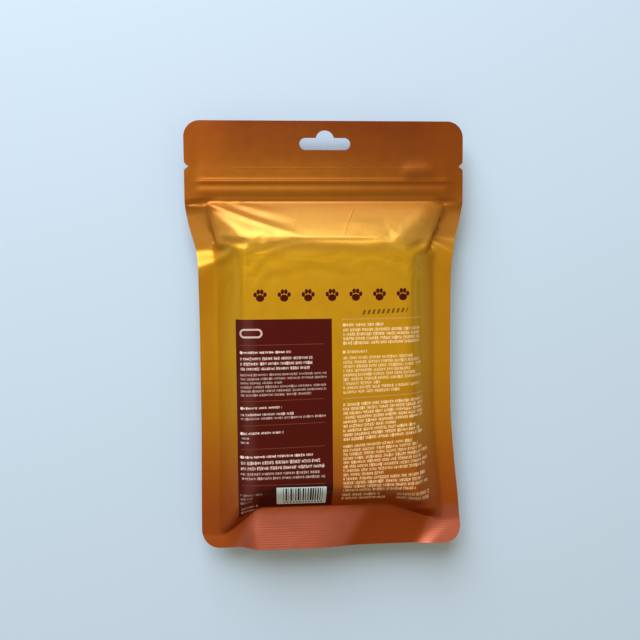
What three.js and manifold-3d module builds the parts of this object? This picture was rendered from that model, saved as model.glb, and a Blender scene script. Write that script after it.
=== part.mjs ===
// A filled and sealed pet treat pouch, lying on its back with its printed face up.
//
// The real pouch starts as two printed laminate webs of the same size. They are welded along
// both sides and the foot, a press-to-close strip is welded inside below the header, the header
// is welded shut, and the corners, the tear notches and the hanging slot are punched out.
// The contents then push the webs apart, which draws the sides in. This file follows that order:
// it lofts the two webs as one closed skin over a grid of film positions, and then punches it.
//
// Millimetres. x runs across the pouch, y from the foot to the header, z up and out of the face.

import * as THREE from "three";
import { mergeVertices } from "three/addons/utils/BufferGeometryUtils.js";
import Module from "manifold-3d";

// The welded pouch
const WIDTH = 140;
const HEIGHT = 215;
const WEB = 0.15; // one laminate web
const SIDE_SEAL = 8.5;
const FOOT_SEAL = 10;
const TOP_CORNER_RADIUS = 8;
const FOOT_CORNER_RADIUS = 9;

// The header, measured down from the top edge
const MOUTH_DROP = 40; // to the line where the two webs part
const NOTCH_DROP = 22.5;
const NOTCH_DEPTH = 2.2;
const NOTCH_HEIGHT = 3.2;
const SLOT_DROP = 14.4; // to the straight lower edge of the hanging slot
const SLOT_WIDTH = 25.5;
const SLOT_HEIGHT = 6;
const SLOT_DOME_RADIUS = 4.6;
const SLOT_DOME_RISE = 9.7; // from the slot's lower edge to the top of its dome

// The press-to-close strip, measured up from the mouth line
const ZIP_BAND = 20;
const ZIP_TAPE = 0.35; // how far the strip lifts each web
const ZIP_RIDGES = [
  { up: 5.2, width: 4.6, rise: 0.5 },
  { up: 10, width: 2, rise: 0.55 },
];

// What the contents do to the webs
const FACE_DEPTH = 12.5; // from the seal plane to the top of the face
const BELLY_DEPTH = 13.5; // from the seal plane down to the flat that the pouch rests on
const SIDE_RUN = 15.5; // film between a side seal and the edge of the contents
const SHOULDER_RUN = { left: 17, right: 20 };
const CORNER_BAND = 4.5; // height over which the flat over an upper corner of the contents ends
const FOOT_FOLD = 19.5; // height of the fold between the foot and the face
const FOLD_REACH = 62; // height up to which the grid of the webs follows that fold
const FOOT_RUN = 12.5;
const BELLY_FOOT_RUN = 26;
const CROWN = 1.2; // extra height in the middle of the face
const ROUNDING = 0.2; // share of a slope that is rounded where it meets the face
const HIP_SOFTNESS = 0.035; // how softly two slopes meet along a hip

// The flat over each upper corner of the contents. It slants down to the side and to the mouth,
// ends against the side seal in a short wall, and ends below, `drop` from the mouth line, in a tuck.
const CORNERS = {
  left: { run: 30, fall: 41, drop: 22.5, wallTop: 10.2, wallFoot: 10.2, wallRun: 1.8 },
  right: { run: 44, fall: 38, drop: 25, wallTop: 8.5, wallFoot: 13.5, wallRun: 3 },
};

// How the seals move once the pouch is full
const WAIST_DRAW_IN = 6.3;
const FOOT_DRAW_IN = 3.2;
const FOOT_DRIFT = 2.2; // the foot lies this far to the right of the header
const DRAW_IN_LENGTH = 34; // height below the mouth over which the sides come in
const FOOT_LENGTH = 75; // height above the foot over which they go out again

// How far the foot edge lifts, from the left to the right. Where the lift changes there is a crease
// from the fold over the foot to the foot edge, given by its places across the flat film.
const FOOT_KICKS = [
  { kick: 1.5 },
  { atFold: -46, atEdge: -43, blend: 10, kick: 6.6 },
  { atFold: 17, atEdge: 6, blend: 14, kick: 3.2 },
  { atFold: 64, atEdge: 49, blend: 8, kick: 5 },
];

// The fold over the foot drops towards both corners. The left corner is tucked in further.
const FOOT_TUCK = {
  left: { inset: 36, drop: 13 },
  right: { inset: 44, drop: 8 },
};

// The buckle of each side seal. It sags behind the seal plane below the mouth, and then springs
// forward between a level line and a crest that meets it near the contents.
const SEAL_SAG = 2;
const BUCKLE_TAIL = 26;
const BUCKLE = {
  left: { drop: 23.5, crestDrop: 33.5, tip: 19, rise: 2.4 },
  right: { drop: 18, crestDrop: 26.5, tip: 13, rise: 2 },
};
const SEAL_REACH = 25; // how far in from the edge the seal's own shape fades out

// Creases in the face. Each runs between two places, given as the inset from the side edge of the
// flat film and the drop from the mouth line, and rises out of the film or, below 0, sinks in.
const CREASES = [
  { side: -1, from: [1, 0.5], to: [16, -0.8], width: 3.6, rise: -1.6 },
  { side: 1, from: [1, 1.5], to: [15, 0], width: 3.2, rise: -1.4 },
  { side: -1, from: [12, -0.5], to: [36, 11], width: 6, rise: 0.6 },
  { side: -1, from: [33, 9.5], to: [62, 18.5], width: 8, rise: 0.35 },
  { side: -1, from: [15, 0], to: [52, 8], width: 6, rise: 0.5 },
  { side: -1, from: [5, 32], to: [23, 23.5], width: 7, rise: 0.9 },
  { side: -1, from: [19, 26], to: [21, 60], width: 5, rise: -0.5 },
  { side: -1, from: [25, 24], to: [25.5, 90], width: 4.5, rise: 0.5 },
  { side: 1, from: [20.5, 26], to: [21, 92], width: 6, rise: -0.8 },
  { side: 1, from: [49, 8], to: [58, 17], width: 4, rise: 0.5 },
  { side: 1, from: [55, -18], to: [54, 1], width: 5, rise: -0.5 },
];

// Strips of film that the grid of the webs covers with closer lines, because they bend there
const EDGE_STRIP = 20; // inside the edge of the contents
const TUCK_STRIP = { below: 9, above: 8, fade: 8 }; // at the tuck under the upper corners
const MOUTH_STRIP = { below: 3, above: 1 };

// Worked out from the sizes above
const half = WIDTH / 2;
const sealLine = half - SIDE_SEAL;
const mouth = HEIGHT - MOUTH_DROP;
const cornerLine = mouth - (CORNERS.left.drop + CORNERS.right.drop) / 2;
const contentsEdge = sealLine - SIDE_RUN;
const middleEdge = contentsEdge - EDGE_STRIP;

const { clamp, smoothstep, lerp } = THREE.MathUtils;

// The least of several values, with the corner between them rounded.
function softMin(values, softness) {
  const sum = values.reduce((total, v) => total + Math.exp(-v / softness), 0);
  return -softness * Math.log(sum);
}

// A slope that climbs from 0 to 1 and then stays exactly level, with a rounded edge.
function levelOff(t) {
  if (t <= 1 - ROUNDING) return Math.max(t, 0);
  if (t >= 1 + ROUNDING) return 1;
  return 1 - (1 + ROUNDING - t) ** 2 / (4 * ROUNDING);
}

// A smooth hump of height 1 that is 0 from `reach` on.
function hump(distance, reach) {
  const t = clamp(1 - Math.abs(distance) / reach, 0, 1);
  return t * t * (3 - 2 * t);
}

// How far the side seals come in at height y, on the left (-1) or the right (1).
function drawIn(side, y) {
  const belowMouth = smoothstep(mouth - y, 0, DRAW_IN_LENGTH);
  const nearFoot = 1 - smoothstep(y, 0, FOOT_LENGTH);
  const atFoot = FOOT_DRAW_IN - side * FOOT_DRIFT;
  return belowMouth * lerp(WAIST_DRAW_IN, atFoot, nearFoot);
}

// Where the film position u, counted across the flat pouch, lies once the pouch is full.
function across(u, y) {
  const side = Math.sign(u);
  const share = smoothstep(Math.abs(u), contentsEdge / 2, sealLine);
  return u - side * share * drawIn(side, y);
}

// Height of a side seal, which buckles because it is longer than the filled pouch is tall.
function seamHeight(u, y) {
  const { drop, crestDrop, tip, rise } = u < 0 ? BUCKLE.left : BUCKLE.right;
  const inset = half - Math.abs(u);
  const fade = hump(inset, SEAL_REACH);
  const down = mouth - y;
  const crest = lerp(crestDrop, drop + 1, clamp(inset / tip, 0, 1));
  const sag = SEAL_SAG * smoothstep(down, 0, 5);
  if (down < crest) return fade * (-sag + (sag + rise) * smoothstep(down, drop, crest));
  return fade * rise * (1 - smoothstep(down, crest, crest + BUCKLE_TAIL));
}

// A ramp from 0 at `low` to 1 at `high`, straight in between.
function ramp(value, low, high) {
  return clamp((value - low) / (high - low), 0, 1);
}

// Height of the foot, which is bent up along its edge in flat facets. Each facet begins and ends
// on a crease that runs from the fold over the foot to the foot edge.
function footHeight(u, y) {
  const lift = clamp(1 - y / footFold(u), 0, 1);
  let kick = FOOT_KICKS[0].kick;
  for (const { atFold, atEdge, blend, kick: next } of FOOT_KICKS.slice(1)) {
    const crease = lerp(atFold, atEdge, lift);
    kick = lerp(kick, next, ramp(u, crease - blend / 2, crease + blend / 2));
  }
  return kick * lift;
}

function sealHeight(u, y) {
  return seamHeight(u, y) + footHeight(u, y);
}

// Height of the fold over the foot.
function footFold(u) {
  const inset = half - Math.abs(u);
  const tuck = u < 0 ? FOOT_TUCK.left : FOOT_TUCK.right;
  return FOOT_FOLD - tuck.drop * smoothstep(tuck.inset - inset, 0, tuck.inset - SIDE_SEAL);
}

// How far the film has climbed from the mouth line onto the contents.
function shoulderFill(u, y) {
  const rightwards = smoothstep(u, -contentsEdge, contentsEdge);
  return (mouth - y) / lerp(SHOULDER_RUN.left, SHOULDER_RUN.right, rightwards);
}

// How full the pouch is at the side, over an upper corner of the contents.
function cornerFill(u, y) {
  const { run, fall, drop, wallTop, wallFoot, wallRun } = u < 0 ? CORNERS.left : CORNERS.right;
  const down = mouth - y;
  const wall = lerp(wallTop, wallFoot, clamp(down / drop, 0, 1));
  const beyondWall = Math.max(half - Math.abs(u) - wall, 0);
  return Math.min(beyondWall / wallRun, beyondWall / run + Math.max(down, 0) / fall);
}

// How full the pouch is under the face, from 0 on a seal to 1 over the contents.
function faceFill(u, y) {
  const { drop } = u < 0 ? CORNERS.left : CORNERS.right;
  const nearTop = smoothstep(y - mouth + drop, -CORNER_BAND / 2, CORNER_BAND / 2);
  const gusset = (sealLine - Math.abs(u)) / SIDE_RUN;
  const side = lerp(gusset, cornerFill(u, y), nearTop);
  const foot = Math.max((y - footFold(u)) / FOOT_RUN, 0);
  return levelOff(softMin([side, shoulderFill(u, y), foot], HIP_SOFTNESS));
}

// The same under the belly, which the weight of the contents spreads flat.
function bellyFill(u, y) {
  const side = (sealLine - Math.abs(u)) / SIDE_RUN;
  const foot = (y - FOOT_SEAL) / BELLY_FOOT_RUN;
  return levelOff(softMin([side, shoulderFill(u, y), foot], HIP_SOFTNESS));
}

// How far the closed strip inside lifts either web.
function zipHeight(u, y) {
  const up = y - mouth;
  if (Math.abs(u) > sealLine || up <= 0 || up >= ZIP_BAND) return 0;
  const ridges = ZIP_RIDGES.map((ridge) => ridge.rise * hump(up - ridge.up, ridge.width / 2));
  return ZIP_TAPE + Math.max(...ridges);
}

// A crease is highest along its middle and runs out to nothing at both ends.
function creaseHeight(u, y) {
  const place = new THREE.Vector3(u, y, 0);
  const nearest = new THREE.Vector3();
  let total = 0;
  for (const { side, from, to, width, rise } of CREASES) {
    const start = new THREE.Vector3(side * (half - from[0]), mouth - from[1], 0);
    const end = new THREE.Vector3(side * (half - to[0]), mouth - to[1], 0);
    const line = new THREE.Line3(start, end);
    const along = line.closestPointToPointParameter(place, true);
    line.at(along, nearest);
    total += rise * hump(place.distanceTo(nearest), width / 2) * Math.sqrt(hump(along - 0.5, 0.5));
  }
  return total;
}

function faceHeight(u, y) {
  const fill = faceFill(u, y);
  const crown = CROWN * fill * Math.cos((Math.PI / 2) * clamp(u / sealLine, -1, 1));
  const film = sealHeight(u, y) * (1 - fill) + FACE_DEPTH * fill + crown + creaseHeight(u, y);
  return Math.max(film, bellyHeight(u, y) + WEB) + WEB + zipHeight(u, y);
}

function bellyHeight(u, y) {
  const fill = bellyFill(u, y);
  return sealHeight(u, y) * (1 - fill) - WEB - zipHeight(u, y) - (BELLY_DEPTH - WEB) * fill;
}

// Numbers from the first stop to the last, with `steps` even steps between each two stops.
function graded(stops, steps) {
  const values = [stops[0]];
  for (let i = 1; i < stops.length; i++) {
    for (let k = 1; k <= steps[i - 1]; k++) {
      values.push(lerp(stops[i - 1], stops[i], k / steps[i - 1]));
    }
  }
  return values;
}

// Film positions where the grid has its lines: close together where the film bends.
const outward = graded([0, middleEdge, contentsEdge, sealLine, half], [3, 6, 9, 3]);
const columns = [...outward.slice(1).map((u) => -u).reverse(), ...outward];
const ridgeLines = ZIP_RIDGES.flatMap(({ up, width }) =>
  [up - width / 2, up, up + width / 2].map((at) => mouth + at),
);
const rows = graded(
  [
    0,
    FOOT_FOLD,
    FOOT_FOLD + FOOT_RUN * (1 + ROUNDING),
    FOOT_SEAL + BELLY_FOOT_RUN * (1 + ROUNDING),
    cornerLine - TUCK_STRIP.below - TUCK_STRIP.fade,
    cornerLine - TUCK_STRIP.below,
    cornerLine + TUCK_STRIP.above,
    mouth - MOUTH_STRIP.below,
    mouth + MOUTH_STRIP.above,
    ...ridgeLines,
    mouth + ZIP_BAND,
    HEIGHT,
  ],
  [8, 7, 3, 6, 3, 13, 6, 4, 2, 1, 1, 1, 1, 1, 2, 2],
);

// Where a line of the grid lies at film position u. The lines near the foot follow its fold.
function alongFold(u, y) {
  const fold = footFold(u);
  if (y < FOOT_FOLD) return (y * fold) / FOOT_FOLD;
  if (y > FOLD_REACH) return y;
  return lerp(fold, FOLD_REACH, (y - FOOT_FOLD) / (FOLD_REACH - FOOT_FOLD));
}

function filmPosition(row, column) {
  const u = columns[column];
  return [u, alongFold(u, rows[row])];
}

// Whether a web bends less along the diagonal from a cell's low left to its high right corner
// than along the other one. Splitting a cell that way keeps hips and folds sharp.
function risingIsStraighter(height, row, column) {
  const [u0, y00] = filmPosition(row, column);
  const [u1, y11] = filmPosition(row + 1, column + 1);
  const [, y10] = filmPosition(row, column + 1);
  const [, y01] = filmPosition(row + 1, column);
  const middle = height((u0 + u1) / 2, (y00 + y01 + y10 + y11) / 4);
  const rising = (height(u0, y00) + height(u1, y11)) / 2;
  const falling = (height(u0, y01) + height(u1, y10)) / 2;
  return Math.abs(rising - middle) <= Math.abs(falling - middle);
}

// The two webs and the edge between them, as one closed surface.
function filledWebs() {
  const positions = [];
  const index = [];
  const quad = (a, b, c, d) => index.push(a, b, c, a, c, d);
  const at = (web, row, column) => (web * rows.length + row) * columns.length + column;
  const webs = [faceHeight, bellyHeight];
  webs.forEach((height, web) => {
    for (let r = 0; r < rows.length; r++) {
      for (let c = 0; c < columns.length; c++) {
        const [u, y] = filmPosition(r, c);
        positions.push(across(u, y), y, height(u, y));
      }
    }
    for (let r = 0; r < rows.length - 1; r++) {
      for (let c = 0; c < columns.length - 1; c++) {
        const cell = [at(web, r, c), at(web, r, c + 1), at(web, r + 1, c + 1), at(web, r + 1, c)];
        if (!risingIsStraighter(height, r, c)) cell.push(cell.shift());
        if (web === 1) [cell[1], cell[3]] = [cell[3], cell[1]];
        quad(...cell);
      }
    }
  });
  const lastRow = rows.length - 1;
  const lastColumn = columns.length - 1;
  for (let r = 0; r < lastRow; r++) {
    quad(at(1, r, 0), at(0, r, 0), at(0, r + 1, 0), at(1, r + 1, 0));
    quad(at(0, r, lastColumn), at(1, r, lastColumn), at(1, r + 1, lastColumn), at(0, r + 1, lastColumn));
  }
  for (let c = 0; c < lastColumn; c++) {
    quad(at(1, 0, c), at(1, 0, c + 1), at(0, 0, c + 1), at(0, 0, c));
    quad(at(0, lastRow, c), at(0, lastRow, c + 1), at(1, lastRow, c + 1), at(1, lastRow, c));
  }
  const skin = new THREE.BufferGeometry();
  skin.setAttribute("position", new THREE.Float32BufferAttribute(positions, 3));
  skin.setIndex(index);
  return skin;
}

// The punches, which all pass right through the pouch
const PUNCH_MARGIN = 4;
const ARC_STEPS = 10;

function punch(shape) {
  const depth = 2 * (FACE_DEPTH + BELLY_DEPTH);
  const block = new THREE.ExtrudeGeometry(shape, {
    depth,
    bevelEnabled: false,
    curveSegments: ARC_STEPS,
  });
  return block.translate(0, 0, -depth / 2);
}

// A hanging slot: a bar with round ends and a dome over its middle.
function slotShape() {
  const low = HEIGHT - SLOT_DROP;
  const end = SLOT_HEIGHT / 2;
  const reach = SLOT_WIDTH / 2 - end;
  const domeCentre = low + SLOT_DOME_RISE - SLOT_DOME_RADIUS;
  const shoulderUp = low + SLOT_HEIGHT - domeCentre;
  const from = Math.asin(clamp(shoulderUp / SLOT_DOME_RADIUS, -1, 1));
  const shape = new THREE.Shape();
  shape.moveTo(-reach, low);
  shape.lineTo(reach, low);
  shape.absarc(reach, low + end, end, -Math.PI / 2, Math.PI / 2, false);
  shape.absarc(0, domeCentre, SLOT_DOME_RADIUS, from, Math.PI - from, false);
  shape.lineTo(-reach, low + SLOT_HEIGHT);
  shape.absarc(-reach, low + end, end, Math.PI / 2, (3 * Math.PI) / 2, false);
  return shape;
}

// A V notch that starts a tear at one side.
function notchShape(side) {
  const y = HEIGHT - NOTCH_DROP;
  const edge = across(side * half, y);
  const outside = edge + side * PUNCH_MARGIN;
  const shape = new THREE.Shape();
  shape.moveTo(edge - side * NOTCH_DEPTH, y);
  shape.lineTo(edge, y + NOTCH_HEIGHT / 2);
  shape.lineTo(outside, y + NOTCH_HEIGHT / 2);
  shape.lineTo(outside, y - NOTCH_HEIGHT / 2);
  shape.lineTo(edge, y - NOTCH_HEIGHT / 2);
  return shape;
}

// What lies outside a rounded corner. `side` is -1 or 1, and `end` is -1 at the foot, 1 on top.
function cornerShape(side, end, radius) {
  const edgeY = end > 0 ? HEIGHT : 0;
  const y = edgeY - end * radius;
  const x = across(side * half, y) - side * radius;
  const out = radius + PUNCH_MARGIN;
  const turn = Math.atan2(end, side) - Math.PI / 4;
  const shape = new THREE.Shape();
  shape.moveTo(x + out * Math.cos(turn), y + out * Math.sin(turn));
  shape.lineTo(x + side * out, y + end * out);
  shape.lineTo(x - out * Math.sin(turn), y + out * Math.cos(turn));
  shape.absarc(x, y, radius, turn + Math.PI / 2, turn, true);
  return shape;
}

const wasm = await Module();
wasm.setup();

function solidFrom(geometry) {
  const bare = geometry.clone();
  for (const name of ["normal", "uv"]) bare.deleteAttribute(name);
  const merged = mergeVertices(bare, 1e-4);
  return new wasm.Manifold(
    new wasm.Mesh({
      numProp: 3,
      vertProperties: new Float32Array(merged.attributes.position.array),
      triVerts: new Uint32Array(merged.index.array),
    }),
  );
}

function geometryFrom(solid) {
  const mesh = solid.getMesh();
  const geometry = new THREE.BufferGeometry();
  geometry.setAttribute("position", new THREE.BufferAttribute(mesh.vertProperties, 3));
  geometry.setIndex(new THREE.BufferAttribute(mesh.triVerts, 1));
  geometry.computeVertexNormals();
  return geometry;
}

const punches = [
  slotShape(),
  notchShape(-1),
  notchShape(1),
  cornerShape(-1, 1, TOP_CORNER_RADIUS),
  cornerShape(1, 1, TOP_CORNER_RADIUS),
  cornerShape(-1, -1, FOOT_CORNER_RADIUS),
  cornerShape(1, -1, FOOT_CORNER_RADIUS),
];

let pouch = solidFrom(filledWebs());
for (const shape of punches) pouch = pouch.subtract(solidFrom(punch(shape)));

// Gold print over metallised film, under a satin coat
const printedFilm = new THREE.MeshStandardMaterial({
  color: 0xbe8a14,
  roughness: 0.38,
  metalness: 0.55,
});

const pouchMesh = new THREE.Mesh(geometryFrom(pouch), printedFilm);
pouchMesh.name = "pouch";
// The origin is below the middle of the pouch, on the surface that its belly rests on
pouchMesh.position.set(0, -HEIGHT / 2, BELLY_DEPTH);

const part = new THREE.Group();
part.add(pouchMesh);

export default part;
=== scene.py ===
# %% [markdown]
# A sealed bag of pet food, lying on its back
#
# The real object is a flat pouch of printed metallised film, welded along both sides and along
# the foot, with a press-to-close zip under a flat header that hangs on a peg. Filled, it is a
# soft cushion with crisp folds round it. One solid from CAD carries its size, its outline, its
# hang slot and its large folds. This script dresses that solid: it refines the surface, presses
# a few fine folds, lets the film crinkle as foil does, prints it, and lights it as a plain studio
# would.
#
# The imported solid is loaded first and stays where it is. Its box is kept, because the dressed
# bag must not outgrow it. Its box is kept and printed.

# %% Load the imported model
import math

import bpy
import numpy as np
from mathutils import Euler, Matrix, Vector, noise


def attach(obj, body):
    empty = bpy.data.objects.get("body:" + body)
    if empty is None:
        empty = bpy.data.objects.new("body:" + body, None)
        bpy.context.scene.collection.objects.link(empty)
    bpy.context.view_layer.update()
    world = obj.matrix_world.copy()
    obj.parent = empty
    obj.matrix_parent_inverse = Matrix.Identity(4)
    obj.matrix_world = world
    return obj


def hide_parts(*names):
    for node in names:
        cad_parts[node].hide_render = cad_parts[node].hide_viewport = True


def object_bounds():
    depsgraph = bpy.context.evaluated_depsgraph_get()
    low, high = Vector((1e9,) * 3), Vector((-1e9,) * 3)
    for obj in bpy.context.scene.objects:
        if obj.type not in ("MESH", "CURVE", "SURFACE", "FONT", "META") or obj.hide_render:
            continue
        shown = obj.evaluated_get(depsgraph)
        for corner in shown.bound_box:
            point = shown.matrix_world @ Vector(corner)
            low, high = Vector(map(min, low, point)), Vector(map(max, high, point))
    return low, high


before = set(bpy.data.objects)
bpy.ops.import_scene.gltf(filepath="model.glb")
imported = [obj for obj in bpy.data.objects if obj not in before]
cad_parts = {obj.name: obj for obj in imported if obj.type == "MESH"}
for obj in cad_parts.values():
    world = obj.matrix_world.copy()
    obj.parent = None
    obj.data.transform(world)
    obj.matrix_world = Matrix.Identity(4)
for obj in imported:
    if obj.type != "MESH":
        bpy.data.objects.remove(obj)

MM = 0.001
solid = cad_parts["pouch"]
solid_box = [list(corner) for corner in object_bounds()]
print("solid box in mm:", [[round(v / MM, 1) for v in corner] for corner in solid_box])

# %% [markdown]
# The camera
#
# The bag was photographed from almost straight above, from about a third of a metre, a little
# to the left of its middle. The lens is given by the width of the view: a camera 690 pixels
# away from a picture 640 pixels wide. The place and the turn were found by laying the known
# outline, 140 by 215 mm, over the picture.

# %% Place the camera
PICTURE = 640
DISTANCE_IN_PIXELS = 690
SENSOR = 36.0
CAMERA_PLACE = (-0.0262, 0.0285, 0.3621)
CAMERA_TURN = (-3.323, -3.797, -0.54)

lens = bpy.data.cameras.new("camera")
lens.sensor_width = SENSOR
lens.lens = DISTANCE_IN_PIXELS / PICTURE * SENSOR
camera = bpy.data.objects.new("camera", lens)
camera.location = CAMERA_PLACE
camera.rotation_euler = Euler([math.radians(angle) for angle in CAMERA_TURN])
bpy.context.collection.objects.link(camera)
bpy.context.scene.camera = camera
print("camera", round(lens.lens, 2), "mm at", [round(v, 4) for v in camera.location])

# %% [markdown]
# The surface under the bag, and the light
#
# Film that is half mirror shows the room more than the lamp. The parts that face straight up
# are deep in colour, so they see a dim room, and the slopes that face the head of the bag are
# far paler, so they see a large bright window there. One wide soft lamp stands for that window.
# The rest of the room is warm, brighter overhead and dim towards the walls, so the steep sides
# of the bag go dark at their edges. The surface below is a pale blue-grey board.

# %% Lay the surface
BOARD_SIZE = 1.6
BOARD_COLOUR = (0.57, 0.73, 0.95)


def plain_material(name, colour, roughness):
    """A new material with one colour and one roughness, and its main shader."""
    material = bpy.data.materials.new(name)
    material.use_nodes = True
    shader = material.node_tree.nodes["Principled BSDF"]
    shader.inputs["Base Color"].default_value = (*colour, 1)
    shader.inputs["Roughness"].default_value = roughness
    return material, shader


bpy.ops.object.select_all(action="DESELECT")
bpy.ops.mesh.primitive_plane_add(size=BOARD_SIZE)
board = bpy.context.object
board.name = "board"
board_paint, _ = plain_material("pale_board", BOARD_COLOUR, 0.6)
board.data.materials.append(board_paint)
print("board", BOARD_SIZE, "m wide")

# %% Set the window
WINDOW_PLACE = (-0.5, 1.43, 1.09)
WINDOW_SIZE = 1.6
WINDOW_POWER = 46
WINDOW_COLOUR = (0.96, 0.98, 1.0)


def soft_lamp(name, place, aim, size, power, colour):
    """A square lamp at a place, turned towards a point."""
    light = bpy.data.lights.new(name, "AREA")
    light.size = size
    light.energy = power
    light.color = colour
    lamp = bpy.data.objects.new(name, light)
    lamp.location = place
    lamp.rotation_euler = (Vector(aim) - Vector(place)).to_track_quat("-Z", "Y").to_euler()
    bpy.context.collection.objects.link(lamp)
    return lamp


window = soft_lamp("window", WINDOW_PLACE, (0, 0, 0), WINDOW_SIZE, WINDOW_POWER, WINDOW_COLOUR)
print("window", WINDOW_SIZE, "m wide,", round(window.location.length, 2), "m away")

# %% Set the rest of the room
ROOM_COLOUR = (1.0, 0.85, 0.56)
AT_THE_WALLS = 0.16
OVERHEAD = 0.46
FULL_FROM = 0.7

world = bpy.data.worlds.new("room")
world.use_nodes = True
room = world.node_tree
sky = room.nodes["Background"]
sky.inputs["Color"].default_value = (*ROOM_COLOUR, 1)
direction = room.nodes.new("ShaderNodeTexCoord").outputs["Generated"]
split_direction = room.nodes.new("ShaderNodeSeparateXYZ")
strength = room.nodes.new("ShaderNodeMapRange")
room.links.new(direction, split_direction.inputs[0])
room.links.new(split_direction.outputs["Z"], strength.inputs["Value"])
strength.inputs["From Min"].default_value = 0.0
strength.inputs["From Max"].default_value = FULL_FROM
strength.inputs["To Min"].default_value = AT_THE_WALLS
strength.inputs["To Max"].default_value = OVERHEAD
room.links.new(strength.outputs["Result"], sky.inputs["Strength"])
bpy.context.scene.world = world
bpy.context.scene.view_settings.view_transform = "Standard"
print("room from", AT_THE_WALLS, "at the walls to", OVERHEAD, "overhead")

# %% [markdown]
# The film
#
# The solid is made of flat facets a few millimetres wide. The bag needs folds that roll
# smoothly and an outline that stays crisp. So a copy of the solid is merged into one skin, its
# triangles are paired into four-sided faces, and the cut edges of the film are marked as hard
# before the skin is subdivided. Subdivision rounds everything except what is marked.

# %% Copy the solid and merge it into one skin
PAIR_UP_TO = 70
CUT_EDGE_FROM = 60

film = bpy.data.objects.new("film", solid.data.copy())
bpy.context.collection.objects.link(film)
film.data.materials.clear()


def edit(piece):
    """Selects one piece alone, and opens it for editing with everything in it selected."""
    bpy.ops.object.select_all(action="DESELECT")
    bpy.context.view_layer.objects.active = piece
    piece.select_set(True)
    bpy.ops.object.mode_set(mode="EDIT")
    bpy.ops.mesh.select_all(action="SELECT")


edit(film)
bpy.ops.mesh.customdata_custom_splitnormals_clear()
bpy.ops.mesh.remove_doubles(threshold=1e-7)
bpy.ops.mesh.tris_convert_to_quads(
    face_threshold=math.radians(PAIR_UP_TO), shape_threshold=math.radians(PAIR_UP_TO)
)
bpy.ops.mesh.select_all(action="DESELECT")
bpy.ops.mesh.select_mode(type="EDGE")
bpy.ops.mesh.edges_select_sharp(sharpness=math.radians(CUT_EDGE_FROM))
bpy.ops.transform.edge_crease(value=1.0)
bpy.ops.object.mode_set(mode="OBJECT")
print("skin:", len(film.data.vertices), "points,", len(film.data.polygons), "faces")

# %% Subdivide it once
def apply_modifier(piece, name, kind, **settings):
    """Adds a modifier, sets it, and applies it at once."""
    modifier = piece.modifiers.new(name, kind)
    for key, value in settings.items():
        setattr(modifier, key, value)
    bpy.context.view_layer.objects.active = piece
    bpy.ops.object.modifier_apply(modifier=name)


apply_modifier(film, "refine", "SUBSURF", levels=1, render_levels=1)
print("refined:", len(film.data.vertices), "points")

# %% [markdown]
# Where the film is free to crinkle
#
# Two welded layers are stiff, and so is the film over the zip. The single layer over the
# contents is free. The freedom runs from 0 on the welds and the header to 1 on the bag's face.
# It falls off again over the shoulder, because the welded zip above holds the film there. It is
# measured by how far in a point lies from the outline, and how high it is above the foot.

# %% Measure the freedom of every point
HALF_HEIGHT = -solid_box[0][1]
SEAL_PLANE = 13.5 * MM
FACE_FREEDOM = {"side": (9, 16), "foot": (12, 20), "zip": (154, 174)}
BELLY_SHARE = 0.15
BAND = 3
BANDS = 82


def points_of(piece):
    """The places of all points of a piece, as rows of x, y, z."""
    flat = np.empty(len(piece.data.vertices) * 3)
    piece.data.vertices.foreach_get("co", flat)
    return flat.reshape(-1, 3)


def ease(value, low, high):
    """0 below low, 1 above high, and a smooth step between."""
    t = np.clip((value - low) / (high - low), 0, 1)
    return t * t * (3 - 2 * t)


def across_and_up(place):
    """Each point's place across the bag from its middle, and above its foot, in mm."""
    return place[:, 0] / MM, (place[:, 1] + HALF_HEIGHT) / MM


def inset_and_height(place):
    """How far each point lies in from the side edges, and above the foot, in mm.

    The side edges are the outermost points within each band of heights.
    """
    x, height = across_and_up(place)
    band = np.clip((height / BAND).astype(int), 0, BANDS - 2)
    left = np.full(BANDS, np.inf)
    right = np.full(BANDS, -np.inf)
    np.minimum.at(left, band, x)
    np.maximum.at(right, band, x)
    return np.minimum(x - left[band], right[band] - x), height


def freedom(place):
    """How free the film is at each point, from 0 to 1."""
    inset, height = inset_and_height(place)
    free = ease(inset, *FACE_FREEDOM["side"])
    free = free * ease(height, *FACE_FREEDOM["foot"])
    free = free * (1 - ease(height, *FACE_FREEDOM["zip"]))
    return free * np.where(place[:, 2] < SEAL_PLANE - 2 * MM, BELLY_SHARE, 1.0)


free = freedom(points_of(film))
print("points free to move:", int((free > 0.5).sum()), "of", len(free))

# %% [markdown]
# Fine folds pressed into the film
#
# A few sharp lines run over the bag where the film has once been folded: from both corners
# down over the shoulder, along the fold above the face, along the left edge of the face, at the
# tucks beside the shoulder, over the zip and over the foot. They are about a millimetre high at
# most, so they are left to this script. Each is a straight line with a lift and a width, and the
# points near it are moved. Where the lift is below zero, the line is a valley.

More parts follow.
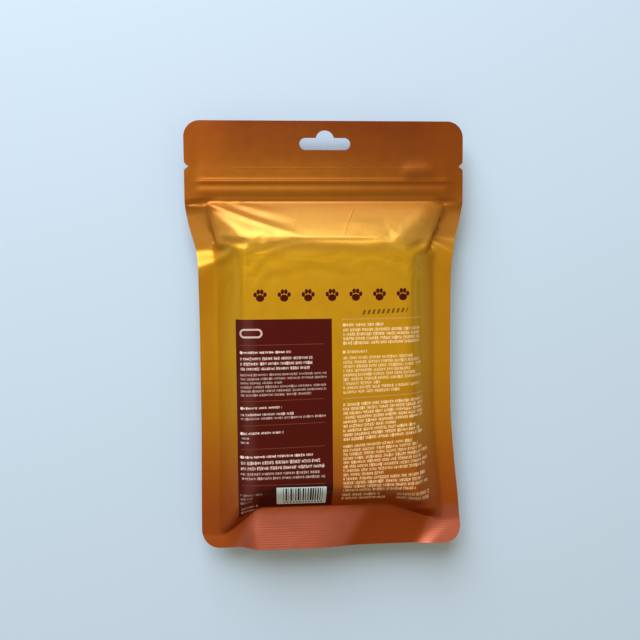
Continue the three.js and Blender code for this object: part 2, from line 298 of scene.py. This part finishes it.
# %% Press the folds
FOLDS = [
    {"start": (-57.0, 173.0), "end": (-15.0, 157.5), "lift": 0.55, "width": 2.2},
    {"start": (-50.0, 173.5), "end": (-18.0, 162.0), "lift": -0.35, "width": 3.2},
    {"start": (52.0, 172.0), "end": (33.0, 156.0), "lift": 0.20, "width": 4.0},
    {"start": (-40.0, 152.0), "end": (-41.0, 120.0), "lift": 0.35, "width": 1.8},
    {"start": (-69.0, 174.0), "end": (-57.0, 175.0), "lift": -0.8, "width": 2.6},
    {"start": (57.0, 175.5), "end": (68.0, 174.5), "lift": -0.8, "width": 2.6},
    {"start": (40.0, 190.0), "end": (56.0, 190.4), "lift": 0.75, "width": 5.0},
    {"start": (44.0, 21.0), "end": (58.0, 22.0), "lift": -0.8, "width": 3.2},
    {"start": (-52.0, 155.0), "end": (-39.5, 153.5), "lift": -1.1, "width": 3.2},
    {"start": (40.5, 150.0), "end": (50.0, 154.5), "lift": -1.2, "width": 3.6},
    {"start": (-30.0, 157.0), "end": (28.0, 156.5), "lift": 0.25, "width": 2.0},
]


def lift_along(place, fold):
    """How far a fold lifts each point, falling off across the line and at its ends."""
    start = np.array(fold["start"])
    run = np.array(fold["end"]) - start
    length = np.linalg.norm(run)
    run = run / length
    spot = np.stack(across_and_up(place), axis=1) - start
    along = spot @ run
    beside = np.abs(spot[:, 0] * run[1] - spot[:, 1] * run[0])
    near = 1 - ease(beside, 0, fold["width"])
    ends = ease(along, -3, 3) * (1 - ease(along, length - 6, length + 3))
    return near * ends * fold["lift"] * MM


def set_points(piece, place):
    """Moves all points of a piece to new places."""
    piece.data.vertices.foreach_set("co", place.ravel())
    piece.data.update()


folded = points_of(film)
upper = folded[:, 2] > SEAL_PLANE - 0.5 * MM
lift = sum(lift_along(folded, fold) for fold in FOLDS)
folded[:, 2] += lift * upper
set_points(film, folded)
print("folds pressed:", len(FOLDS), "up to", round(float(np.abs(lift).max()) / MM, 2), "mm")

# %% [markdown]
# The crinkles
#
# Foil does not stretch. Where the contents push it out of flat it has slightly too much area,
# and the spare film collapses into small shallow dents. Cloth simulation gives just that: the
# film is made a little under a thousandth too large for its place, is held on the welds, and
# finds its own dents. A faint uneven start tells it where to give way, so the result is the same
# on every run. Gravity is off, because the contents carry the film. The movement stays well
# under a millimetre.

# %% Let the film settle
SPARE_FILM = 0.0007
STIFFNESS_IN_BENDING = 0.4
HOLD = 0.93
START_UNEVEN = 0.09 * MM
START_SCALE = 220
STEPS = 20


def normals_of(piece):
    """The outward directions of all points of a piece."""
    flat = np.empty(len(piece.data.vertices) * 3)
    piece.data.vertices.foreach_get("normal", flat)
    return flat.reshape(-1, 3)


def settle(piece, free):
    """Makes the film slightly too large for its place, and lets it find its dents."""
    held = piece.vertex_groups.new(name="held")
    for index, weight in enumerate(1 - HOLD * free):
        held.add([index], float(weight), "REPLACE")
    place = points_of(piece)
    uneven = np.array([noise.fractal(Vector(spot) * START_SCALE, 1.0, 2.0, 3) for spot in place])
    push = (uneven * free * START_UNEVEN)[:, None]
    set_points(piece, place + normals_of(piece) * push)
    cloth = piece.modifiers.new("settle", "CLOTH")
    sets = cloth.settings
    sets.quality = 6
    sets.mass = 0.002
    sets.tension_stiffness = 40
    sets.compression_stiffness = 40
    sets.shear_stiffness = 20
    sets.bending_stiffness = STIFFNESS_IN_BENDING
    sets.tension_damping = 5
    sets.compression_damping = 5
    sets.shear_damping = 5
    sets.bending_damping = 0.5
    sets.air_damping = 2
    sets.vertex_group_mass = "held"
    sets.pin_stiffness = 2.0
    sets.shrink_min = -SPARE_FILM
    sets.effector_weights.gravity = 0
    cloth.collision_settings.use_collision = False
    cloth.point_cache.frame_start = 1
    cloth.point_cache.frame_end = STEPS
    for step in range(1, STEPS + 1):
        bpy.context.scene.frame_set(step)
    bpy.context.view_layer.objects.active = piece
    bpy.ops.object.modifier_apply(modifier="settle")
    piece.vertex_groups.clear()
    bpy.context.scene.frame_set(1)
    return np.linalg.norm(points_of(piece) - place, axis=1)


moved = settle(film, free)
print("film moved up to", round(float(moved.max()) / MM, 2), "mm")

# %% Refine it once more and smooth it
CRISP_FROM = 50

apply_modifier(film, "fine", "SUBSURF", levels=1, render_levels=1)
bpy.ops.object.select_all(action="DESELECT")
film.select_set(True)
bpy.context.view_layer.objects.active = film
bpy.ops.object.shade_smooth_by_angle(angle=math.radians(CRISP_FROM))
print("film:", sum(len(face.vertices) - 2 for face in film.data.polygons), "triangles")

# %% [markdown]
# Writing the print as a formula
#
# The print is flat colour under a clear layer, so it is made of shader nodes that read a
# point's place on the bag in millimetres: x across from the middle, y up from the foot. A small
# helper writes the arithmetic nodes, so that each shape of the print stays a line or two.

# %% A helper that writes shader nodes
class Sums:
    """Writes nodes into one tree. Every method gives back an output socket."""

    def __init__(self, tree):
        self.tree = tree

    def link(self, kind, socket):
        """A new node fed by one socket."""
        new = self.tree.nodes.new(kind)
        self.tree.links.new(socket, new.inputs[0])
        return new

    def node(self, kind, inputs=(), output=0, **settings):
        """One output of a new node, with its inputs fed by name or number."""
        new = self.tree.nodes.new(kind)
        for key, value in settings.items():
            setattr(new, key, value)
        for key, value in dict(inputs).items():
            self.feed(new.inputs[key], value)
        return new.outputs[output]

    def feed(self, socket, value):
        """Links an output to a socket, or sets the socket to a plain value."""
        if isinstance(value, bpy.types.NodeSocket):
            self.tree.links.new(value, socket)
        else:
            socket.default_value = value

    def math(self, operation, *values):
        return self.node("ShaderNodeMath", dict(enumerate(values)), operation=operation)

    def times(self, first, *others):
        for other in others:
            first = self.math("MULTIPLY", first, other)
        return first

    def plus(self, a, b):
        return self.math("ADD", a, b)

    def minus(self, a, b):
        return self.math("SUBTRACT", a, b)

    def over(self, a, b):
        return self.math("DIVIDE", a, b)

    def size(self, a):
        """The value without its sign."""
        return self.math("ABSOLUTE", a)

    def above(self, a, b):
        return self.math("GREATER_THAN", a, b)

    def below(self, a, b):
        return self.math("LESS_THAN", a, b)

    def between(self, value, low, high):
        return self.times(self.above(value, low), self.below(value, high))

    def either(self, a, b):
        return self.math("MAXIMUM", a, b)

    def ease(self, value, low, high, to_low=0.0, to_high=1.0):
        """A smooth step from one value to another. It may run downwards, from a high to a low."""
        inputs = {"Value": value, "From Min": low, "From Max": high}
        inputs.update({"To Min": to_low, "To Max": to_high})
        return self.node("ShaderNodeMapRange", inputs, interpolation_type="SMOOTHSTEP")

    def mix(self, share, low, high):
        """The first colour where the share is 0, and the second where it is 1."""
        new = self.tree.nodes.new("ShaderNodeMix")
        new.data_type = "RGBA"
        self.feed(new.inputs["Factor"], share)
        for socket, value in ((new.inputs[6], low), (new.inputs[7], high)):
            self.feed(socket, (*value, 1) if isinstance(value, tuple) else value)
        return new.outputs[2]


print("helper for shader nodes ready")

# %% Start the film's material
BAG_LENGTH = 215.0
GOLD = (0.5, 0.25, 0.02)

film_paint, film_shader = plain_material("printed_film", GOLD, 0.36)
film.data.materials.append(film_paint)
p = Sums(film_paint.node_tree)
place = p.node("ShaderNodeTexCoord", output="Object")
parts_of_place = p.link("ShaderNodeSeparateXYZ", place).outputs
x = p.times(parts_of_place["X"], 1 / MM)
y = p.times(p.plus(parts_of_place["Y"], HALF_HEIGHT), 1 / MM)
up_the_bag = p.over(y, BAG_LENGTH)
facing = p.node("ShaderNodeNewGeometry", output="True Normal")
on_face = p.above(p.link("ShaderNodeSeparateXYZ", facing).outputs["Z"], 0.0)
print("the print is measured on a bag", BAG_LENGTH, "mm long")

# %% [markdown]
# Shapes of the print
#
# The print is a dark panel with thin rules, two columns of small rows, a row of seven paw marks,
# a plain badge and a bar pattern. Each is a formula that is 1 inside the shape and 0 outside.
# Two such formulas serve nearly all of them.

# %% Formulas for an ellipse and a rectangle
def ellipse(x, y, centre, radii):
    """1 inside an ellipse."""
    across = p.over(p.minus(x, centre[0]), radii[0])
    up = p.over(p.minus(y, centre[1]), radii[1])
    return p.below(p.plus(p.times(across, across), p.times(up, up)), 1.0)


def rectangle(x, y, left, right, low, high):
    """1 inside an upright rectangle."""
    return p.times(p.between(x, left, right), p.between(y, low, high))


print("shapes ready")

# %% [markdown]
# The ground colour
#
# The film is a transparent gold ink on a mirror layer. The ink is printed heavier towards the
# head and the foot, where the gold turns to a dark orange brown. The dark orange brown towards
# the sides is painted shade on the steep sides. The darker right part of the zip and the head is
# painted shade too, and a paler, whiter gold over the shoulder is a painted sheen.

# %% Colour the ground from foot to head, with painted shade and sheen
GROUND = [
    (0, (0.34, 0.062, 0.012)),
    (20, (0.36, 0.068, 0.010)),
    (42, (0.46, 0.136, 0.010)),
    (68, (0.61, 0.270, 0.009)),
    (95, (0.69, 0.360, 0.008)),
    (148, (0.69, 0.365, 0.010)),
    # The stops at 157 and 169 mm are partly print and partly a painted sheen: their whiter tint
    # is the shoulder catching the window.
    (157, (0.62, 0.325, 0.050)),
    (169, (0.50, 0.225, 0.035)),
    (178, (0.36, 0.120, 0.006)),
    (190, (0.35, 0.110, 0.006)),
    (195, (0.31, 0.085, 0.005)),
    (215, (0.24, 0.048, 0.004)),
]
# Painted shade: the darker orange brown towards the steep sides.
PAINTED_SIDE_SHADE = (0.44, 0.110, 0.004)
# Painted shade over the right part of the zip and the head.
PAINTED_HEAD_SHADE = (0.19, 0.030, 0.003)

ramp = p.link("ShaderNodeValToRGB", up_the_bag)
stops = ramp.color_ramp.elements
for index, (height, colour) in enumerate(GROUND):
    stop = stops[index] if index < 2 else stops.new(height / BAG_LENGTH)
    stop.position = height / BAG_LENGTH
    stop.color = (*colour, 1)
# Painted shade towards the steep sides.
towards_side = p.ease(p.size(x), 40.0, 62.0)
ground = p.mix(p.times(towards_side, 0.4), ramp.outputs["Color"], PAINTED_SIDE_SHADE)
# Painted shade over the right part of the zip and the head.
shade_on_head_right = p.times(p.ease(y, 170.0, 185.0), p.ease(x, -20.0, 60.0), 0.4)
ground = p.mix(shade_on_head_right, ground, PAINTED_HEAD_SHADE)
print("ground colour:", len(stops), "steps from foot to head")

# %% [markdown]
# The colour of the foot weld
#
# The weld along the foot is pressed between ribbed bars. Two paler, pinker fields on it are a
# painted sheen, where its facets catch the light. The deeper colour in the fold between those
# fields is painted shade. The borders of the fields lean to the right, as the creases of the foot
# do. The shares of the colours were chosen.

# %% Paint a sheen and shade onto the foot weld
# A pale pink painted sheen, and a deeper orange-brown painted shade.
PAINTED_FOOT_SHEEN = (0.42, 0.110, 0.072)
PAINTED_FOOT_SHADE = (0.26, 0.036, 0.001)
LEAN = 0.6

in_foot = p.ease(y, 21.0, 15.0)
leaning = p.minus(x, p.times(p.minus(y, 8.0), LEAN))
# Two fields of painted sheen, left and right, and a field of painted shade between them.
sheen_left = p.times(p.ease(leaning, -46.0, -41.0), p.ease(leaning, 19.0, 8.0))
sheen_and_deep_ribs = p.either(sheen_left, p.ease(leaning, 49.0, 54.0))
between = p.times(p.ease(leaning, 10.0, 18.0), p.ease(leaning, 52.0, 47.0))
ground = p.mix(p.times(in_foot, sheen_and_deep_ribs, 0.7), ground, PAINTED_FOOT_SHEEN)
ground = p.mix(p.times(in_foot, between, 0.7), ground, PAINTED_FOOT_SHADE)
print("foot weld: two pale fields and a dark one")

# %% [markdown]
# The rows of small print
#
# The small print carries no words. From a step away it is only a pattern of rows, broken into
# words and letters, with ragged ends. There are many blocks of rows, and a separate pattern for
# each would be too much for one material. So every block only says where it lies, and adds its
# own measures to a few shared sums, which are zero outside all blocks. The pattern is then
# worked out once, from those sums.

# %% List the blocks of rows
PANEL_BLOCKS = [
    {"left": -43.2, "right": -18.5, "top": 101.7, "pitch": 2.0, "rows": 1, "tone": 1.0},
    {"left": -43.2, "right": -8.0, "top": 98.9, "pitch": 2.5, "rows": 3, "tone": 0.9},
    {"left": -43.3, "right": -1.2, "top": 90.7, "pitch": 2.0, "rows": 6, "tone": 0.55},
    {"left": -43.4, "right": -23.0, "top": 74.3, "pitch": 2.0, "rows": 1, "tone": 1.0},
    {"left": -43.4, "right": -17.5, "top": 71.1, "pitch": 2.2, "rows": 1, "tone": 0.8},
    {"left": -43.5, "right": -1.6, "top": 69.0, "pitch": 2.0, "rows": 1, "tone": 0.6},
    {"left": -43.6, "right": -22.5, "top": 61.7, "pitch": 2.0, "rows": 1, "tone": 1.0},
    {"left": -43.6, "right": -39.5, "top": 59.4, "pitch": 2.1, "rows": 2, "tone": 0.7},
    {"left": -43.8, "right": -5.5, "top": 50.0, "pitch": 2.0, "rows": 1, "tone": 1.0},
    {"left": -43.8, "right": -2.5, "top": 47.4, "pitch": 2.7, "rows": 2, "tone": 0.85},
    {"left": -43.9, "right": -2.4, "top": 41.7, "pitch": 2.2, "rows": 2, "tone": 0.6},
    {"left": -44.2, "right": -33.5, "top": 31.0, "pitch": 2.1, "rows": 3, "tone": 0.4},
    {"left": -44.2, "right": -36.0, "top": 23.2, "pitch": 2.6, "rows": 2, "tone": 0.7},
]
COLUMN_BLOCKS = [
    {"left": 7.1, "right": 27.5, "top": 114.7, "pitch": 2.0, "rows": 1, "tone": 1.0},
    {"left": 7.1, "right": 46.0, "top": 112.3, "pitch": 2.15, "rows": 4, "tone": 1.0},
    {"left": 7.0, "right": 19.0, "top": 101.4, "pitch": 2.0, "rows": 1, "tone": 1.0},
    {"left": 7.0, "right": 46.6, "top": 98.5, "pitch": 2.12, "rows": 9, "tone": 0.85},
    {"left": 6.8, "right": 47.6, "top": 75.4, "pitch": 2.16, "rows": 9, "tone": 0.95},
    {"left": 6.7, "right": 50.4, "top": 54.5, "pitch": 2.03, "rows": 12, "tone": 0.8},
    {"left": 6.4, "right": 32.0, "top": 29.3, "pitch": 2.6, "rows": 2, "tone": 1.0},
    {"left": 34.0, "right": 51.2, "top": 29.3, "pitch": 2.6, "rows": 2, "tone": 0.6},
]
print(len(PANEL_BLOCKS) + len(COLUMN_BLOCKS), "blocks of rows")

# %% [markdown]
# How the rows climb over the bulge
#
# Over the bulge of the bag the printed rows rise a little towards the right, most of all in the
# lower half. The rise is a slope that changes with the height, so it is a curve.

# %% Draw the curve of the slope
RISE = [(24, 0.0), (34, 0.02), (46, 0.055), (58, 0.07), (77, 0.05), (100, 0.022), (118, 0.010)]

rise_curve = p.tree.nodes.new("ShaderNodeFloatCurve")
p.feed(rise_curve.inputs["Value"], up_the_bag)
curve = rise_curve.mapping.curves[0]
curve.points[0].location = (0, 0)
curve.points[1].location = (1, 0)
for height, slope in RISE:
    curve.points.new(height / BAG_LENGTH, slope)
rise_curve.mapping.update()
rise = rise_curve.outputs["Value"]
print("steepest rise:", max(slope for height, slope in RISE))

# %% Gather the blocks into shared sums
PANEL_SHARE_OF_RISE = 0.5
SEED_STEP = 20
sums = dict.fromkeys(("down", "left", "length", "tone"), 0.0)


def add_block(block, share_of_rise, seed):
    """Adds one block's place and rows to the shared sums."""
    from_left = p.minus(x, block["left"])
    level = p.plus(y, p.times(from_left, rise, -share_of_rise))
    down = p.over(p.minus(block["top"], level), block["pitch"])
    length = block["right"] - block["left"]
    inside = p.times(p.between(down, 0.0, block["rows"]), p.between(from_left, 0.0, length))
    values = {"down": p.plus(down, seed), "left": block["left"], "length": length}
    values["tone"] = block["tone"]
    for key, value in values.items():
        sums[key] = p.math("MULTIPLY_ADD", inside, value, sums[key])


for index, block in enumerate(PANEL_BLOCKS):
    add_block(block, PANEL_SHARE_OF_RISE, SEED_STEP * (index + 1))
for index, block in enumerate(COLUMN_BLOCKS):
    add_block(block, 1.0, SEED_STEP * (index + 41))
print("measures summed over all blocks:", ", ".join(sums))

# %% [markdown]
# The pattern inside a row
#
# Each row has its own number. White noise of that number shortens a few rows, and shifts the
# words and letters from row to row. A cellular pattern along the row leaves gaps between words of
# uneven length. Narrow gaps part the letters, and soft noise breaks each into strokes.

# %% Find the ends of the rows and the gaps in them
WORD = 6.5
LETTER = 1.15


def chance(number):
    """A random number from 0 to 1 for each whole number."""
    return p.node("ShaderNodeTexWhiteNoise", {"W": number}, noise_dimensions="1D")


row = p.math("FLOOR", sums["down"])
shortening = p.times(p.math("POWER", chance(row), 5.0), 0.7)
short_by = p.times(sums["length"], shortening)
row_end = p.minus(p.plus(sums["left"], sums["length"]), short_by)
in_width = p.times(p.below(x, row_end), p.above(sums["tone"], 0.1))

word_place = p.plus(p.over(x, WORD), p.times(row, 7.31))
word_gap = p.node("ShaderNodeTexVoronoi", {"W": word_place, "Scale": 1.0},
                  voronoi_dimensions="1D", feature="DISTANCE_TO_EDGE")
in_word = p.ease(word_gap, 0.03, 0.07)
letter_place = p.plus(p.over(x, LETTER), p.times(row, 3.37))
letter_chance = chance(p.plus(p.math("FLOOR", letter_place), p.times(row, 57.0)))
from_letter = p.size(p.minus(p.math("FRACT", letter_place), 0.5))
in_letter = p.ease(from_letter, 0.5, 0.36)
print("letters about", LETTER, "mm wide, words about", WORD, "mm")

# %% Draw the strokes of the rows
MARK_RADIUS = 0.75

taller_in_column = p.times(p.above(x, 4.0), 0.08)
half_height = p.plus(p.plus(0.20, taller_in_column), p.times(letter_chance, 0.12))
from_row = p.size(p.minus(p.math("FRACT", sums["down"]), 0.5))
in_row = p.ease(p.minus(from_row, half_height), 0.05, -0.05)
spot = p.node("ShaderNodeCombineXYZ",
              {"X": p.times(letter_place, 1.9), "Y": p.times(sums["down"], 2.8)})
strokes = p.node("ShaderNodeTexNoise", {"Vector": spot, "Scale": 1.0, "Detail": 1.0},
                 noise_dimensions="2D")
strokes = p.ease(strokes, 0.38, 0.56, 0.3, 1.0)
strokes = p.either(strokes, p.above(letter_chance, 0.94))
rows = p.times(in_width, in_word, in_letter, in_row, strokes, sums["tone"])

# A round mark stands before each heading.
for block in PANEL_BLOCKS + COLUMN_BLOCKS:
    if block["rows"] == 1 and block["tone"] == 1.0:
        middle = (block["left"] + 0.5, block["top"] - block["pitch"] / 2)
        rows = p.either(rows, ellipse(x, y, middle, (MARK_RADIUS, MARK_RADIUS)))
print("rows of small print:", len(p.tree.nodes), "nodes so far")

# %% [markdown]
# The printed panel
#
# A dark maroon panel fills the left half of the face, and runs on over the fold at the foot, a
# little further at its left corner. A paler, pinker band along the fold near the left edge is a
# painted sheen. A near-black field in the lower right part, under the bars, is painted shade
# where the film slopes down towards the foot. Thin rules part the blocks of small print.

# %% Print the panel
PANEL = {"left": -45.3, "right": 1.6, "low": 20.3, "high": 116.9}
TAIL = {"from": -36.0, "slope": 0.45}
MAROON = (0.102, 0.005, 0.003)
# A paler pink painted sheen along the fold near the left edge.
PAINTED_FOLD_SHEEN = (0.19, 0.055, 0.055)
# Near-black painted shade where the panel slopes down towards the foot.
PAINTED_SLOPE_SHADE = (0.018, 0.002, 0.003)

tail = p.times(p.either(p.minus(TAIL["from"], x), 0.0), TAIL["slope"])
panel = p.times(
    p.between(x, PANEL["left"], PANEL["right"]),
    p.between(y, p.minus(PANEL["low"], tail), PANEL["high"]),
    on_face,
)
# Painted sheen along the fold near the left edge of the panel.
sheen_on_fold = p.times(p.ease(p.size(p.plus(x, 39.5)), 5.5, 0.5), 0.45)
panel_ground = p.mix(sheen_on_fold, MAROON, PAINTED_FOLD_SHEEN)
# Painted shade in the lower right part of the panel, under the bars, where the film slopes down
# towards the foot.
right_of_slant = p.ease(p.plus(x, p.times(p.minus(37.0, y), 0.8)), -28.0, -24.5)
lower_right = p.times(right_of_slant, p.ease(y, 38.5, 33.0))
panel_ground = p.mix(p.times(lower_right, 0.6), panel_ground, PAINTED_SLOPE_SHADE)
print("panel:", PANEL["right"] - PANEL["left"], "by", PANEL["high"] - PANEL["low"], "mm")

# %% Print the rules and the rows on it
PALE_INK = (0.86, 0.70, 0.68)
RULE_INK = (0.25, 0.070, 0.045)
RULES = (104.3, 76.7, 64.6, 52.9, 35.0)
RULE_ENDS = (-43.4, -2.4)
HALF_RULE = 0.15

risen = p.times(p.minus(x, RULE_ENDS[0]), rise, PANEL_SHARE_OF_RISE)
rule_level = p.minus(y, risen)
rules = 0.0
for height in RULES:
    rule = rectangle(x, rule_level, *RULE_ENDS, height - HALF_RULE, height + HALF_RULE)
    rules = p.either(rules, rule)
panel_colour = p.mix(rules, panel_ground, RULE_INK)
panel_colour = p.mix(rows, panel_colour, PALE_INK)
print("rules on the panel:", len(RULES))

# %% [markdown]
# The badge and the bar pattern
#
# In the panel's upper left corner there is a plain badge, a rounded ring. In its lower right
# corner there is a white label with bars of chance widths and a row of small feet under them.

# %% Print the badge
BADGE = {"centre": (-37.8, 110.1), "half_length": 3.3, "half_height": 2.3, "line": 0.9}


def rounded_bar(reach):
    """1 within a reach of the badge's middle line, so a bar with round ends."""
    across = p.size(p.minus(x, BADGE["centre"][0]))
    past_end = p.either(p.minus(across, BADGE["half_length"]), 0.0)
    up = p.minus(y, BADGE["centre"][1])
    return p.below(p.plus(p.times(past_end, past_end), p.times(up, up)), reach * reach)


badge_ring = p.times(
    rounded_bar(BADGE["half_height"]),
    p.minus(1.0, rounded_bar(BADGE["half_height"] - BADGE["line"])),
)
panel_colour = p.mix(badge_ring, panel_colour, PALE_INK)
print("badge:", 2 * BADGE["half_height"], "mm high")

# %% Print the bar pattern
# Left, right, low and high edges, in mm.
LABEL = (-26.4, -1.6, 22.2, 33.8)
BARS = (-23.4, -2.6, 24.6, 33.2)
FEET = (-23.4, -2.6, 22.7, 24.1)
BAR_STEP = 1.22
FOOT_STEP = 1.55
WHITE_LABEL = (0.69, 0.86, 1.0)
BLACK_INK = (0.006, 0.006, 0.012)

label = rectangle(x, y, *LABEL)
bar_place = p.over(x, BAR_STEP)
bar_width = p.plus(0.2, p.times(chance(p.math("FLOOR", bar_place)), 0.55))
bars = p.times(p.below(p.math("FRACT", bar_place), bar_width), rectangle(x, y, *BARS))
foot_place = p.math("FRACT", p.over(x, FOOT_STEP))
feet = p.times(p.between(foot_place, 0.25, 0.8), rectangle(x, y, *FEET))
label_colour = p.mix(p.either(bars, p.times(feet, 0.7)), WHITE_LABEL, BLACK_INK)
panel_colour = p.mix(label, panel_colour, label_colour)
print("bars about", BAR_STEP, "mm apart")

# %% [markdown]
# The right column, the title and the stamp
#
# On the gold there is a second column of pale print, in rows and blocks like the panel's, with
# two rules. Above both columns stands a title of seven paw marks, each a pad and four toes. The
# marks stand at even steps, so one mark is drawn round the nearest step. The stamp under them is
# a row of short slanted dashes.

# %% Print the right column
COLUMN_INK = (0.96, 0.68, 0.38)

column_level = p.minus(y, p.times(p.minus(x, 6.8), rise))
column_rules = p.either(
    rectangle(x, column_level, 6.6, 47.6, 116.3, 116.7),
    rectangle(x, column_level, 6.6, 47.6, 77.2, 77.6),
)
face_rows = p.times(rows, on_face)
face_colour = p.mix(p.times(column_rules, on_face, 0.4), ground, COLUMN_INK)
face_colour = p.mix(face_rows, face_colour, COLUMN_INK)
print("right column:", len(COLUMN_BLOCKS), "blocks of rows")

# %% Print the title
TITLE = {"first": -33.1, "step": 11.65, "height": 128.3, "count": 7}
PAW_PARTS = [
    ((0, -1.15), (2.0, 1.7)),
    ((-2.35, 0.55), (0.85, 1.15)),
    ((-0.85, 1.95), (0.85, 1.2)),
    ((0.85, 1.95), (0.85, 1.2)),
    ((2.35, 0.55), (0.85, 1.15)),
]
DARK_INK = (0.090, 0.003, 0.002)

steps_along = p.over(p.minus(x, TITLE["first"]), TITLE["step"])
nearest = p.math("ROUND", steps_along)
mark_x = p.times(p.minus(steps_along, nearest), TITLE["step"])
mark_y = p.minus(y, TITLE["height"])
paw = 0.0
for centre, radii in PAW_PARTS:
    paw = p.either(paw, ellipse(mark_x, mark_y, centre, radii))
marks = p.times(paw, p.between(nearest, -0.5, TITLE["count"] - 0.5), on_face)
face_colour = p.mix(marks, face_colour, DARK_INK)
print("title:", TITLE["count"], "marks")

# %% Print the stamp
STAMP_INK = (0.05, 0.02, 0.004)
STAMP_STEP = 2.35
SLANT = 0.35
CLIMB = 0.045

stamp_x = p.minus(x, p.times(p.minus(y, 119.5), SLANT))
stamp_y = p.minus(y, p.times(x, CLIMB))
in_dash = p.between(p.math("FRACT", p.over(stamp_x, STAMP_STEP)), 0.2, 0.68)
stamp = p.times(in_dash, rectangle(stamp_x, stamp_y, 15.8, 38.6, 117.9, 120.1), on_face)
face_colour = p.mix(p.times(stamp, 0.75), face_colour, STAMP_INK)
print("stamp: dashes", STAMP_STEP, "mm apart")

# %% [markdown]
# The finish of the film
#
# The ink lies on a mirror layer and under a clear one, so the surface is part metal, part
# gloss. It is not polished: the reflections are soft and a little mottled. The pale ink of the
# rows and the label is a dense white, so it hides the mirror layer.

# %% Set the finish
METAL = 0.6
METAL_UNDER_PALE_INK = 0.1

colour = p.mix(panel, face_colour, panel_colour)
p.feed(film_shader.inputs["Base Color"], colour)
pale = p.times(p.either(rows, p.times(label, panel)), on_face)
p.feed(film_shader.inputs["Metallic"], p.ease(pale, 0.0, 1.0, METAL, METAL_UNDER_PALE_INK))
film_shader.inputs["Specular IOR Level"].default_value = 0.0
film_shader.inputs["Specular Tint"].default_value = (0.9, 0.62, 0.3, 1)
film_shader.inputs["Coat Weight"].default_value = 0.35
film_shader.inputs["Coat Roughness"].default_value = 0.29

mottle = p.node("ShaderNodeTexNoise", {"Vector": place, "Scale": 160.0, "Detail": 3.0})
p.feed(film_shader.inputs["Roughness"], p.ease(mottle, 0.3, 0.7, 0.36, 0.44))
print("finish:", METAL, "metal")

# %% [markdown]
# Relief too fine for the mesh
#
# The weld along the foot is ribbed, the zip's weld stands out as thin lines, and a few hairline
# creases run over the header and the shoulder. All of them are about a tenth of a millimetre
# high, less than the mesh can carry, so they tilt the shading only.

# %% Rib the foot weld
RIB_PITCH = 1.15

foot_weld = p.ease(y, 12.5, 11.0)
# The ribs are deeper in the fields of painted sheen.
rib_depth = p.plus(0.08, p.times(sheen_and_deep_ribs, 0.12))
ribs = p.times(p.math("SINE", p.times(y, 2 * math.pi / RIB_PITCH)), foot_weld, rib_depth)
print("ribs", RIB_PITCH, "mm apart")

# %% Draw the lines of the zip's weld
ZIP_WELD = {"half_length": 61.5, "low": 178.0, "high": 186.3}
SECOND_LINE = {"height": 191.6, "left": -46.0, "right": 61.0, "depth": 0.4}
LINE = 0.55


def raised_line(distance):
    """1 on a line, falling smoothly to 0 over its width."""
    return p.ease(p.size(distance), LINE, 0.0)


from_middle = p.size(x)
along_zip = p.times(raised_line(p.minus(y, ZIP_WELD["high"])),
                    p.below(from_middle, ZIP_WELD["half_length"]))
second_line = p.times(raised_line(p.minus(y, SECOND_LINE["height"])),
                      p.between(x, SECOND_LINE["left"], SECOND_LINE["right"]),
                      SECOND_LINE["depth"])
zip_ends = p.times(raised_line(p.minus(from_middle, ZIP_WELD["half_length"])),
                   p.between(y, ZIP_WELD["low"], ZIP_WELD["high"]))
pressed_lines = p.either(p.either(along_zip, second_line), zip_ends)
print("zip's weld:", 2 * ZIP_WELD["half_length"], "mm long")

# %% Draw the hairline creases
HAIRLINES = [
    ((12.6, 193.0), (11.6, 181.0), 0.6),
    ((11.6, 181.0), (10.6, 174.5), 1.0),
    ((14.0, 171.5), (10.0, 163.0), 1.0),
    ((10.0, 163.0), (8.0, 157.5), 0.8),
    ((-12.0, 171.0), (-17.5, 158.5), 0.5),
]
HAIR = 0.7


def hairline(start, end):
    """1 on the line between two points, falling smoothly to 0 beside it."""
    run = Vector(end) - Vector(start)
    length = run.length
    run = run / length
    dx = p.minus(x, start[0])
    dy = p.minus(y, start[1])
    along = p.plus(p.times(dx, run.x), p.times(dy, run.y))
    beside = p.size(p.minus(p.times(dx, run.y), p.times(dy, run.x)))
    return p.times(p.ease(beside, HAIR, 0.0), p.between(along, 0.0, length))


for start, end, depth in HAIRLINES:
    pressed_lines = p.either(pressed_lines, p.times(hairline(start, end), depth))
print("hairline creases:", len(HAIRLINES))

# %% Put the relief together
RELIEF = 0.12 * MM

fine = p.node("ShaderNodeTexNoise", {"Vector": place, "Scale": 900.0, "Detail": 2.0})
relief = p.plus(p.plus(ribs, p.times(pressed_lines, 0.9)), p.times(fine, 0.5))
bump = p.tree.nodes.new("ShaderNodeBump")
bump.inputs["Distance"].default_value = RELIEF
bump.inputs["Strength"].default_value = 0.5
p.feed(bump.inputs["Height"], relief)
p.feed(film_shader.inputs["Normal"], bump.outputs[0])
print("film material:", len(p.tree.nodes), "nodes")

# %% [markdown]
# What moves with what
#
# The bag is one closed pack with no joint, so the film rides on the only body. It stands for
# the CAD solid, which stays in the model for contact.

# %% Tie the film to the model
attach(film, "root")
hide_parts("pouch")
print("film rides on the root and stands for the pouch")
